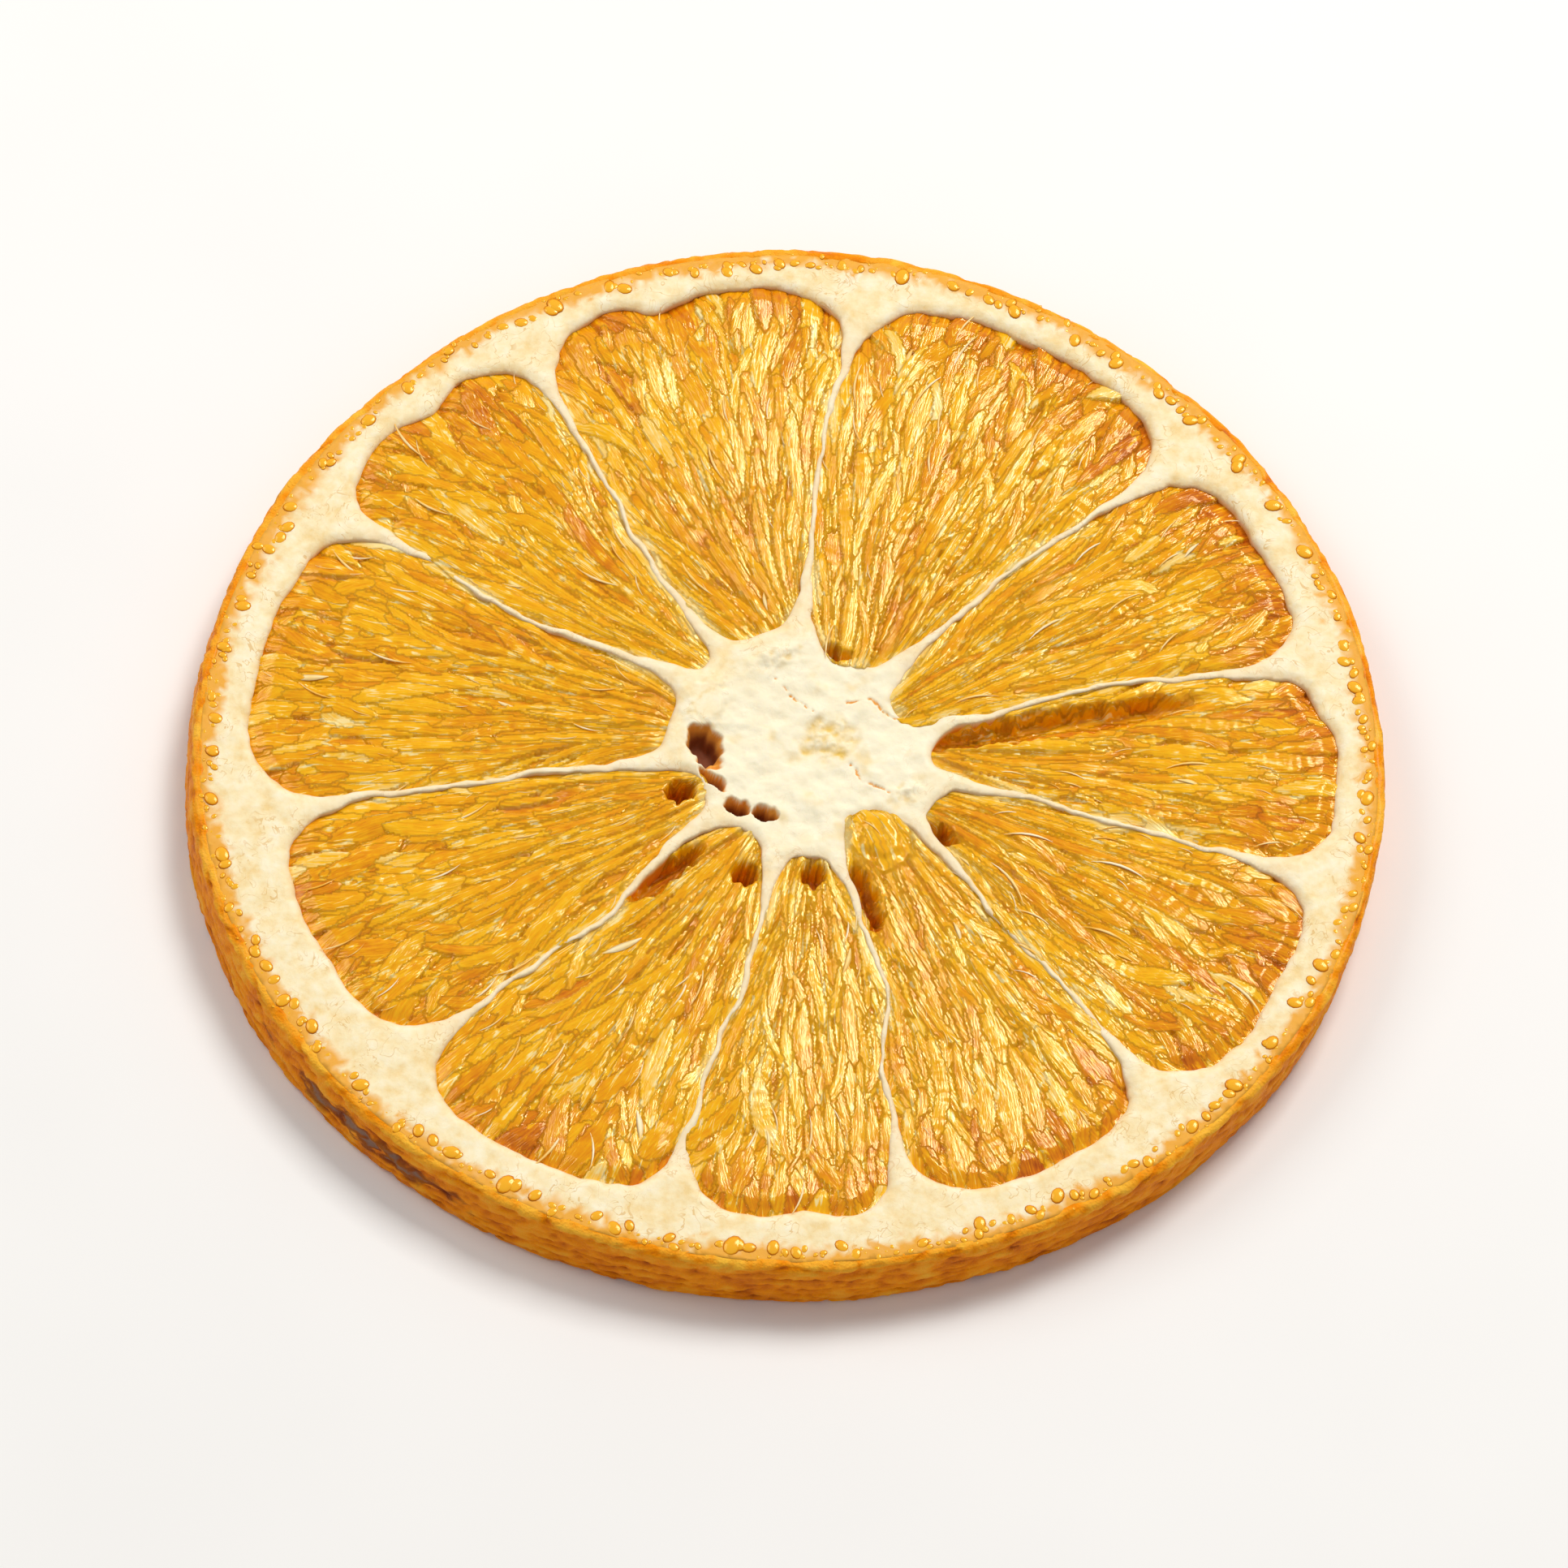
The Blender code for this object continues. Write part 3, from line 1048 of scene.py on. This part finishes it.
def make_peel(material):
    """The peel's skin: a closed ring with a wrinkled, pored wall."""
    degrees = 360 * np.arange(PEEL_STEPS) / PEEL_STEPS
    lap = np.linspace(PEEL_LAP, PEEL_EDGE, 4)
    corner = np.radians((22, 45, 68))
    wall = np.linspace(THICKNESS - PEEL_EDGE, PEEL_EDGE, WALL_STEPS)
    rounding = PEEL_EDGE * (1 - np.sin(corner))
    drop = PEEL_EDGE * (1 - np.cos(corner))
    # The section runs from the inner top edge, out, down the wall, and back under.
    inset = np.concatenate([lap, rounding, 0 * wall, rounding[::-1], lap[::-1]])
    z = np.concatenate([0 * lap + THICKNESS, THICKNESS - drop, wall, drop[::-1], 0 * lap])
    inset, degrees = inset[:, None], degrees[None]
    z = z[:, None] + 0 * degrees
    arc = np.radians(degrees) * PEEL_RADIUS + 0 * z

    def on_wall(pattern, height=z):
        return wall_noise(pattern, arc, height)

    wavy = on_wall(lambda a, h: noise(a / 9, h / 9, 31))
    wrinkle = on_wall(lambda a, h: rough(a / 2.6, h / 0.55, 32, 4))
    folds = on_wall(lambda a, h: 1 - np.abs(noise(a / 3.6, h / 0.8, 33)) * 3)
    layers = on_wall(lambda a, h: 1 - np.abs(rough(a / 4.5, h / 0.5, 38, 2)) * 5)
    pores = on_wall(lambda a, h: cell_distance(a / 0.8, h / 0.8, 34))
    pore = 1 - ease(pores, 0.08, 0.42)
    out = 0.16 * wavy + 0.10 * wrinkle - 0.10 * ease(folds, 0.4, 1.0) - 0.07 * pore
    out = out - 0.07 * ease(layers, 0.2, 0.9)
    share = 1 - ease(inset + 0 * z, 0.0, PEEL_LAP)
    bulge = 0.5 * WALL_BULGE * (1 - (2 * z / THICKNESS - 1) ** 2)
    radius = peel_radius(degrees) - inset + bulge + out * (0.25 + 0.75 * share)
    flat = (inset > 0) * 1.0
    sway = on_wall(lambda a, h: rough(a / 1.4, h * 3 + 5, 35), inset + 0 * z)
    upper = z > THICKNESS / 2
    sunk = flat * (0.06 + 0.05 * sway) + 0.3 * ease(inset, 0.55, PEEL_LAP)
    z = z + np.where(upper, -sunk, sunk)
    points = np.dstack([radius[..., None] * heading(degrees), z])
    rings = np.arange(z.size).reshape(z.shape)
    triangles = np.vstack([wall_between(a, b) for a, b in zip(rings, np.roll(rings, -1, 0))])
    # Painted light on the top 0.9 mm of the wall and on raised wrinkles, and painted shade where
    # the wall sinks into folds, pores and grooves.
    lit = 0.20 * ease(z, THICKNESS - 0.9, THICKNESS)
    tone = 0.12 + 0.20 * wrinkle - 0.22 * ease(folds, 0.4, 1.0) - 0.12 * pore + lit
    tone = tone - 0.15 * ease(layers, 0.2, 0.9)
    # The bruise follows the middle of the wall, 1.8 mm up, and breaks up into flecks.
    away = np.abs((degrees - BRUISE_AT + 180) % 360 - 180) / BRUISE_SPREAD
    mottle = on_wall(lambda a, h: rough(a / 2.2, h / 0.8, 36))
    flecks = on_wall(lambda a, h: rough(a / 0.9, h / 0.4, 37))
    along_middle = np.exp(-(((z - 1.8 - 0.8 * wavy) / 0.75) ** 2))
    marred = 0.8 + 1.0 * mottle + 0.9 * flecks
    bruise = np.exp(-(away**2)) * along_middle * marred + 0.2 * mottle
    bruise = bruise * (inset < 0.2)
    # The wrinkle tone that is stored carries this painted light and shade.
    numbers = {"wrinkle": tone.ravel(), "bruise": np.clip(bruise, 0, 1).ravel()}
    return new_piece("peel", points.reshape(-1, 3), triangles, material, numbers)


# ---------------------------------------------------------------- what grows by nodes


def new_grower(name, units):
    """A geometry node tree with one geometry in and out, and an input for each unit."""
    tree = bpy.data.node_groups.new(name, "GeometryNodeTree")
    tree.interface.new_socket("Geometry", in_out="INPUT", socket_type="NodeSocketGeometry")
    tree.interface.new_socket("Geometry", in_out="OUTPUT", socket_type="NodeSocketGeometry")
    for label in (*units, "Seed", "Material"):
        kind = {"Count": "Int", "Seed": "Int", "Material": "Material"}.get(label, "Float")
        tree.interface.new_socket(label, in_out="INPUT", socket_type="NodeSocket" + kind)
    return tree, tree.nodes.new("NodeGroupInput").outputs


def finish_grower(tree, given, points, instance, **lie):
    """Ends a tree: one smooth mesh of an instance on every point, in the given material."""
    inputs = {"Points": points, "Instance": instance, **lie}
    grown = result(tree, "GeometryNodeInstanceOnPoints", inputs)
    grown = result(tree, "GeometryNodeRealizeInstances", {"Geometry": grown})
    grown = result(tree, "GeometryNodeSetShadeSmooth", {0: grown})
    inputs = {"Geometry": grown, "Material": given["Material"]}
    grown = result(tree, "GeometryNodeSetMaterial", inputs)
    add_node(tree, "NodeGroupOutput", {"Geometry": grown})
    return tree


def random_number(tree, given, inputs):
    inputs = {**inputs, "Seed": given["Seed"]}
    return add_node(tree, "FunctionNodeRandomValue", inputs, data_type="FLOAT").outputs[1]


def random_vector(tree, given, first, last):
    inputs = {0: first, 1: last, "Seed": given["Seed"]}
    return result(tree, "FunctionNodeRandomValue", inputs, data_type="FLOAT_VECTOR")


def random_size(tree, given, power, least, extra):
    """A size between two named inputs. The power makes most small and a few big."""
    share = math_node(tree, "POWER", random_number(tree, given, {}), power)
    return math_node(tree, "MULTIPLY_ADD", share, given[extra], given[least])


def grow(name, seed_mesh, tree, inputs):
    """A plain mesh piece that a tree grows from a seed mesh."""
    piece = add_object(name, seed_mesh)
    grower = piece.modifiers.new(name, "NODES")
    grower.node_group = tree
    for socket in tree.interface.items_tree:
        if socket.in_out == "INPUT" and socket.name in inputs:
            grower[socket.identifier] = inputs[socket.name]
    graph = bpy.context.evaluated_depsgraph_get()
    mesh = bpy.data.meshes.new_from_object(piece.evaluated_get(graph), depsgraph=graph)
    piece.modifiers.remove(grower)
    piece.data = mesh
    mesh.name = name
    return piece


def oil_gland_grower():
    """Beads along a loop of edges, each drawn in by its own inset and sized at random."""
    tree, given = new_grower("oil_gland_grower", GLAND_UNITS)
    loop = result(tree, "GeometryNodeMeshToCurve", {"Mesh": given["Geometry"]})
    inputs = {"Curve": loop, "Count": given["Count"]}
    points = add_node(tree, "GeometryNodeCurveToPoints", inputs, mode="COUNT").outputs["Points"]
    # The way in from the rim is the place's own direction, turned about and made flat.
    spot = result(tree, "GeometryNodeInputPosition")
    inward = vector_node(tree, "MULTIPLY", {0: spot, 1: (-1.0, -1.0, 0.0)})
    inward = vector_node(tree, "NORMALIZE", {0: inward})
    inset = random_number(tree, given, {2: given["Least Inset"], 3: given["Greatest Inset"]})
    drawn = vector_node(tree, "SCALE", {0: inward, "Scale": inset})
    stray = (GLAND_STRAY * MM, GLAND_STRAY * MM, 0.0)
    stray = random_vector(tree, given, [-way for way in stray], stray)
    moved = vector_node(tree, "ADD", {0: drawn, 1: stray})
    inputs = {"Geometry": points, "Offset": moved}
    points = result(tree, "GeometryNodeSetPosition", inputs)
    inputs = {"Segments": 12, "Rings": 7, "Radius": 1.0}
    bead = add_node(tree, "GeometryNodeMeshUVSphere", inputs).outputs["Mesh"]
    # Each bead keeps its own height, from -1 to 1, which paints light on its top and shade under
    # it.
    spot = result(tree, "GeometryNodeInputPosition")
    rise = add_node(tree, "ShaderNodeSeparateXYZ", {0: spot}).outputs["Z"]
    inputs = {"Geometry": bead, "Name": "rise", "Value": rise}
    bead = result(tree, "GeometryNodeStoreNamedAttribute", inputs, data_type="FLOAT")
    radius = random_size(tree, given, 3.0, "Least Radius", "Extra Radius")
    shape = vector_node(tree, "SCALE", {0: GLAND_SHAPE, "Scale": radius})
    turn = random_vector(tree, given, (0.0, 0.0, 0.0), (0.0, 0.0, TAU))
    return finish_grower(tree, given, points, bead, Scale=shape, Rotation=turn)


def fibre_grower():
    """Loose threads scattered over a bed, each laid near the bed's own fan direction."""
    tree, given = new_grower("fibre_grower", FIBRE_UNITS)
    inputs = {"Mesh": given["Geometry"], "Density": given["Density"], "Seed": given["Seed"]}
    points = add_node(
        tree, "GeometryNodeDistributePointsOnFaces", inputs, distribute_method="RANDOM"
    ).outputs["Points"]
    # A bowed spine, one unit long, that tapers to a tenth of its width at both ends.
    bend = result(tree, "ShaderNodeCombineXYZ", {"Y": given["Bow"], "Z": 0.08})
    inputs = {"Resolution": 6, "Start": (-0.5, 0, 0), "Middle": bend, "End": (0.5, 0, 0)}
    spine = result(tree, "GeometryNodeCurveQuadraticBezier", inputs)
    share = add_node(tree, "GeometryNodeSplineParameter").outputs["Factor"]
    taper = math_node(tree, "SINE", math_node(tree, "MULTIPLY", share, np.pi))
    taper = math_node(tree, "MULTIPLY_ADD", taper, 0.9, 0.1)
    inputs = {"Resolution": 5, "Radius": 0.02}
    ring = result(tree, "GeometryNodeCurvePrimitiveCircle", inputs)
    inputs = {"Curve": spine, "Profile Curve": ring, "Scale": taper, "Fill Caps": True}
    thread = result(tree, "GeometryNodeCurveToMesh", inputs)
    kind = "GeometryNodeInputNamedAttribute"
    flow = result(tree, kind, {"Name": "flow"}, data_type="FLOAT_VECTOR")
    kind = "FunctionNodeAlignRotationToVector"
    lie = result(tree, kind, {"Vector": flow}, axis="X", pivot_axis="Z")
    stray = random_vector(tree, given, [-turn for turn in FIBRE_STRAY], FIBRE_STRAY)
    stray = result(tree, "FunctionNodeEulerToRotation", {0: stray})
    inputs = {0: lie, 1: stray}
    lie = result(tree, "FunctionNodeRotateRotation", inputs, rotation_space="LOCAL")
    length = random_size(tree, given, 2.0, "Least Length", "Extra Length")
    inputs = {"X": 1.0, "Y": given["Breadth"], "Z": FIBRE_FLATNESS}
    shape = result(tree, "ShaderNodeCombineXYZ", inputs)
    shape = vector_node(tree, "SCALE", {0: shape, "Scale": length})
    return finish_grower(tree, given, points, thread, Rotation=lie, Scale=shape)


def gland_loops():
    """Loops of edges along the rim of both faces, for the oil glands to sit on."""
    degrees = np.arange(0, 360, 2.0)
    plan = heading(degrees) * peel_radius(degrees)[:, None]
    corners, edges = [], []
    for z in GLAND_HEIGHTS:
        start = len(corners)
        corners += leaning(np.column_stack([plan, np.full(len(plan), z)])).tolist()
        around = start + np.arange(len(plan))
        edges += np.stack([around, np.roll(around, -1)], -1).tolist()
    mesh = bpy.data.meshes.new("gland_loops")
    mesh.from_pydata(corners, edges, [])
    return mesh


def read(things, key, kind=np.float32):
    """Three numbers of every vertex, polygon or attribute value, as rows."""
    numbers = np.empty(3 * len(things), kind)
    things.foreach_get(key, numbers)
    return numbers.reshape(-1, 3)


def fibre_bed(segments):
    """The middles of the segments' upper faces as one mesh, with their fan direction."""
    corners, faces, flows = [], [], []
    for segment in segments:
        mesh = segment.data
        spots = read(mesh.vertices, "co")
        triangles = read(mesh.polygons, "vertices", np.int32)
        upper = (spots[triangles, 2] > (THICKNESS - FIBRE_DEPTH) * MM).all(1)
        faces.append(triangles[upper] + sum(map(len, corners)))
        corners.append(spots)
        flows.append(read(mesh.attributes["flow"].data, "vector"))
    corners, faces, flows = map(np.vstack, (corners, faces, flows))
    mesh = bpy.data.meshes.new("fibre_bed")
    mesh.from_pydata(corners.tolist(), [], faces.tolist())
    kept = mesh.attributes.new("flow", "FLOAT_VECTOR", "POINT")
    kept.data.foreach_set("vector", flows.ravel())
    return mesh


def grow_sets(family, sets, units, bed, tree, material):
    """One piece for each line of a table, all grown from the same bed."""
    pieces = []
    for kind, seed, *numbers in sets:
        inputs = {key: number * unit for number, (key, unit) in zip(numbers, units.items())}
        inputs |= {"Seed": SEED + seed, "Material": material}
        pieces.append(grow(f"{family}_{kind}", bed, tree, inputs))
    return pieces


# ---------------------------------------------------------------- the studio


def make_camera():
    """Looks down on the slice from 60 degrees above its face."""
    camera = bpy.data.cameras.new("camera")
    camera.lens = CAMERA_LENS
    holder = add_object("camera", camera)
    back = Vector((0, -np.cos(np.radians(CAMERA_HEIGHT)), np.sin(np.radians(CAMERA_HEIGHT))))
    holder.location = Vector(CAMERA_AIM) * MM + back * CAMERA_DISTANCE * MM
    holder.rotation_euler = (-back).to_track_quat("-Z", "Y").to_euler()
    bpy.context.scene.camera = holder


def make_light(name, spot, size, watts, colour):
    """A soft square lamp that faces the slice."""
    lamp = bpy.data.lights.new(name, "AREA")
    lamp.size, lamp.energy, lamp.color = size, watts, paint(colour)[:3]
    holder = add_object(name, lamp)
    holder.location = spot
    holder.rotation_euler = (-Vector(spot)).to_track_quat("-Z", "Y").to_euler()


def make_table():
    """A wide sheet of matt white card under the slice."""
    material, tree = new_material("white_card", Roughness=0.85)
    mottle = noise_node(tree, place_node(tree), 60.0, 2.0)
    colour = ramp_node(tree, mottle, (0.3, "#F6F5F3"), (0.7, "#F8F7F5"))
    mesh = bpy.data.meshes.new("table")
    corners = [(-1.5, -1.5, 0), (1.5, -1.5, 0), (1.5, 1.5, 0), (-1.5, 1.5, 0)]
    mesh.from_pydata(corners, [], [(0, 1, 2, 3)])
    mesh.materials.append(finished(material, Base_Color=colour))
    add_object("table", mesh)


def make_studio():
    """A soft key from behind on the right, a weak fill from the left, and a pale table."""
    make_table()
    make_light("key", (0.25, 0.35, 0.55), 0.26, 3.3, "#FFFCF8")
    make_light("fill", (-0.42, 0.28, 0.50), 0.35, 1.2, "#FFFCF8")
    world = bpy.data.worlds.new("soft_room")
    world.use_nodes = True
    sky = world.node_tree.nodes["Background"]
    sky.inputs["Color"].default_value = paint("#FFFFFF")
    sky.inputs["Strength"].default_value = 0.38
    scene = bpy.context.scene
    scene.world = world
    scene.view_settings.view_transform = "Standard"


# ---------------------------------------------------------------- assembly


def main():
    outlines = [segment_outline(k) for k in range(len(SEGMENTS))]
    juice, white, leather = dried_juice(), dried_pith(), dried_peel()
    pith = make_pith(outlines, white)
    segments = [make_segment(k, outline, juice) for k, outline in enumerate(outlines)]
    made = [(pith, "pith"), (make_peel(leather), "rind")]
    made += [(segment, "pulp") for segment in segments]
    glands = ("oil_glands", GLANDS, GLAND_UNITS, gland_loops(), oil_gland_grower(), oil_bead())
    made += [(piece, "oil_gland") for piece in grow_sets(*glands)]
    fibres = ("loose", FIBRES, FIBRE_UNITS, fibre_bed(segments), fibre_grower(), dry_skin())
    made += [(piece, "pulp") for piece in grow_sets(*fibres)]
    for piece, slot in made:
        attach(piece, BODY)
    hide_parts(SLICE_NODE)
    make_studio()
    make_camera()


main()
